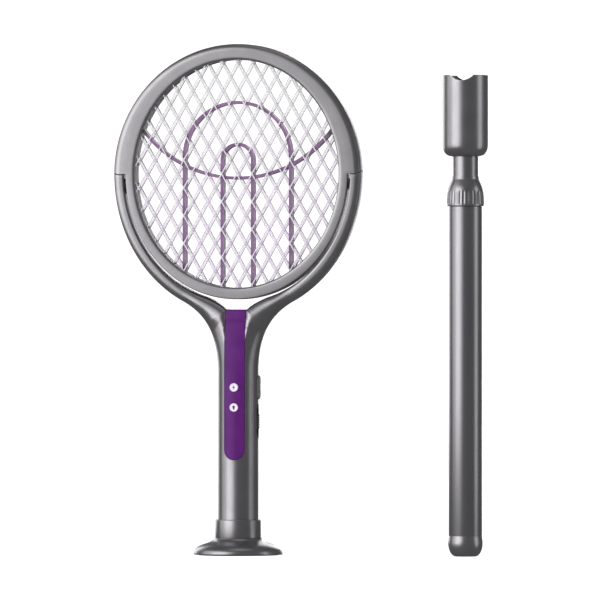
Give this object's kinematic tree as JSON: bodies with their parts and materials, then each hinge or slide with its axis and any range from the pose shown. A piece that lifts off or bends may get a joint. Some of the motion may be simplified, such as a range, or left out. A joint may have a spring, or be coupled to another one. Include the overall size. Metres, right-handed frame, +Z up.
{
  "type": "electric fly swatter",
  "caption": "Cordless electric fly swatter: tilting oval head with shock grid, fork, grip with light panel, charging dock and telescopic pole.",
  "frame": {"origin": "centre of the dock's rubber pad, on the floor", "axes": "+Z up; the front with the light panel and grid faces -Y; +X runs from the dock to the pole"},
  "size_m": [0.3427, 0.0806, 0.4598],
  "materials": {
    "gunmetal_paint": "satin metallic paint on ABS",
    "black_rubber": "matt",
    "dark_plastic": "matt",
    "weight_steel": "bare",
    "green_board": "solder mask",
    "white_board": "solder mask",
    "gold_contact": "plated",
    "bright_steel": "bright",
    "purple_lens": "translucent",
    "led_lens": "clear",
    "ferrite_yellow": "taped winding",
    "film_blue": "dipped",
    "cell_sleeve": "shrink sleeve",
    "lead_red": "silicone",
    "mesh_silver": "satin",
    "rib_purple": "matt",
    "button_pale": "satin",
    "white_guide": "matt",
    "tube_metal": "satin metallic paint"
  },
  "bodies": {
    "root": {"dock_pad": "black_rubber", "dock_base_plate": "dark_plastic", "dock_shell": "gunmetal_paint", "dock_collar": "gunmetal_paint", "dock_weight": "weight_steel", "dock_charge_board": "green_board", "dock_contact_pins": "gold_contact", "usb_c_inlet": "bright_steel", "dock_screws": "bright_steel"},
    "racket": {"handle_front_shell": "gunmetal_paint", "handle_back_shell": "gunmetal_paint", "end_cap": "dark_plastic", "charge_contacts": "gold_contact", "light_panel": "purple_lens", "light_board": "white_board", "panel_leds": "led_lens", "main_board": "green_board", "hv_transformer": "ferrite_yellow", "hv_capacitor": "film_blue", "battery_cell": "cell_sleeve", "battery_contacts": "bright_steel", "control_switches": "dark_plastic", "slider_frame": "dark_plastic", "hv_leads": "lead_red", "handle_screws": "bright_steel", "pivot_bushes": "dark_plastic", "detent_springs": "bright_steel"},
    "head": {"ring_front_frame": "gunmetal_paint", "ring_back_frame": "gunmetal_paint", "front_mesh": "mesh_silver", "hv_mesh": "mesh_silver", "back_mesh": "mesh_silver", "front_rib_frame": "rib_purple", "back_rib_frame": "rib_purple", "pivot_pins": "bright_steel", "contact_tabs": "gold_contact", "ring_screws": "bright_steel"},
    "shock_key": {"shock_button": "button_pale"},
    "lamp_key": {"lamp_button": "button_pale"},
    "trigger": {"side_trigger": "dark_plastic"},
    "slider": {"mode_slider": "dark_plastic"},
    "pole": {"outer_tube": "tube_metal", "pole_foot": "gunmetal_paint", "lock_collet": "dark_plastic"},
    "nut": {"lock_nut": "gunmetal_paint"},
    "pole_top": {"inner_tube": "tube_metal", "tube_guide": "white_guide", "cup": "gunmetal_paint", "cup_pin": "bright_steel"}
  },
  "joints": [
    {"name": "racket_lift", "type": "slide", "parent": "root", "child": "racket", "axis": [0, 0, 1], "range_m": [0, 0.06]},
    {"name": "head_tilt", "type": "hinge", "parent": "racket", "child": "head", "pos_m": [0, 0, 0.33228], "axis": [1, 0, 0], "range_deg": [-90, 90]},
    {"name": "shock_press", "type": "slide", "parent": "racket", "child": "shock_key", "axis": [0, 1, 0], "range_m": [0, 0.0005], "stiffness_N_per_m": 600, "springref_m": -0.001},
    {"name": "lamp_press", "type": "slide", "parent": "racket", "child": "lamp_key", "axis": [0, 1, 0], "range_m": [0, 0.0005], "stiffness_N_per_m": 600, "springref_m": -0.001},
    {"name": "trigger_press", "type": "slide", "parent": "racket", "child": "trigger", "axis": [-1, 0, 0], "range_m": [0, 0.0012], "stiffness_N_per_m": 600, "springref_m": -0.001},
    {"name": "mode_slide", "type": "slide", "parent": "racket", "child": "slider", "axis": [0, 0, 1], "range_m": [-0.005, 0.005]},
    {"name": "pole_lift", "type": "slide", "parent": "root", "child": "pole", "axis": [0, 0, 1], "range_m": [0, 0.06]},
    {"name": "nut_twist", "type": "hinge", "parent": "pole", "child": "nut", "pos_m": [0.2085, 0, 0.3265], "axis": [0, 0, 1], "range_deg": [0, 90]},
    {"name": "pole_extend", "type": "slide", "parent": "pole", "child": "pole_top", "axis": [0, 0, 1], "range_m": [0, 0.24]}
  ]
}
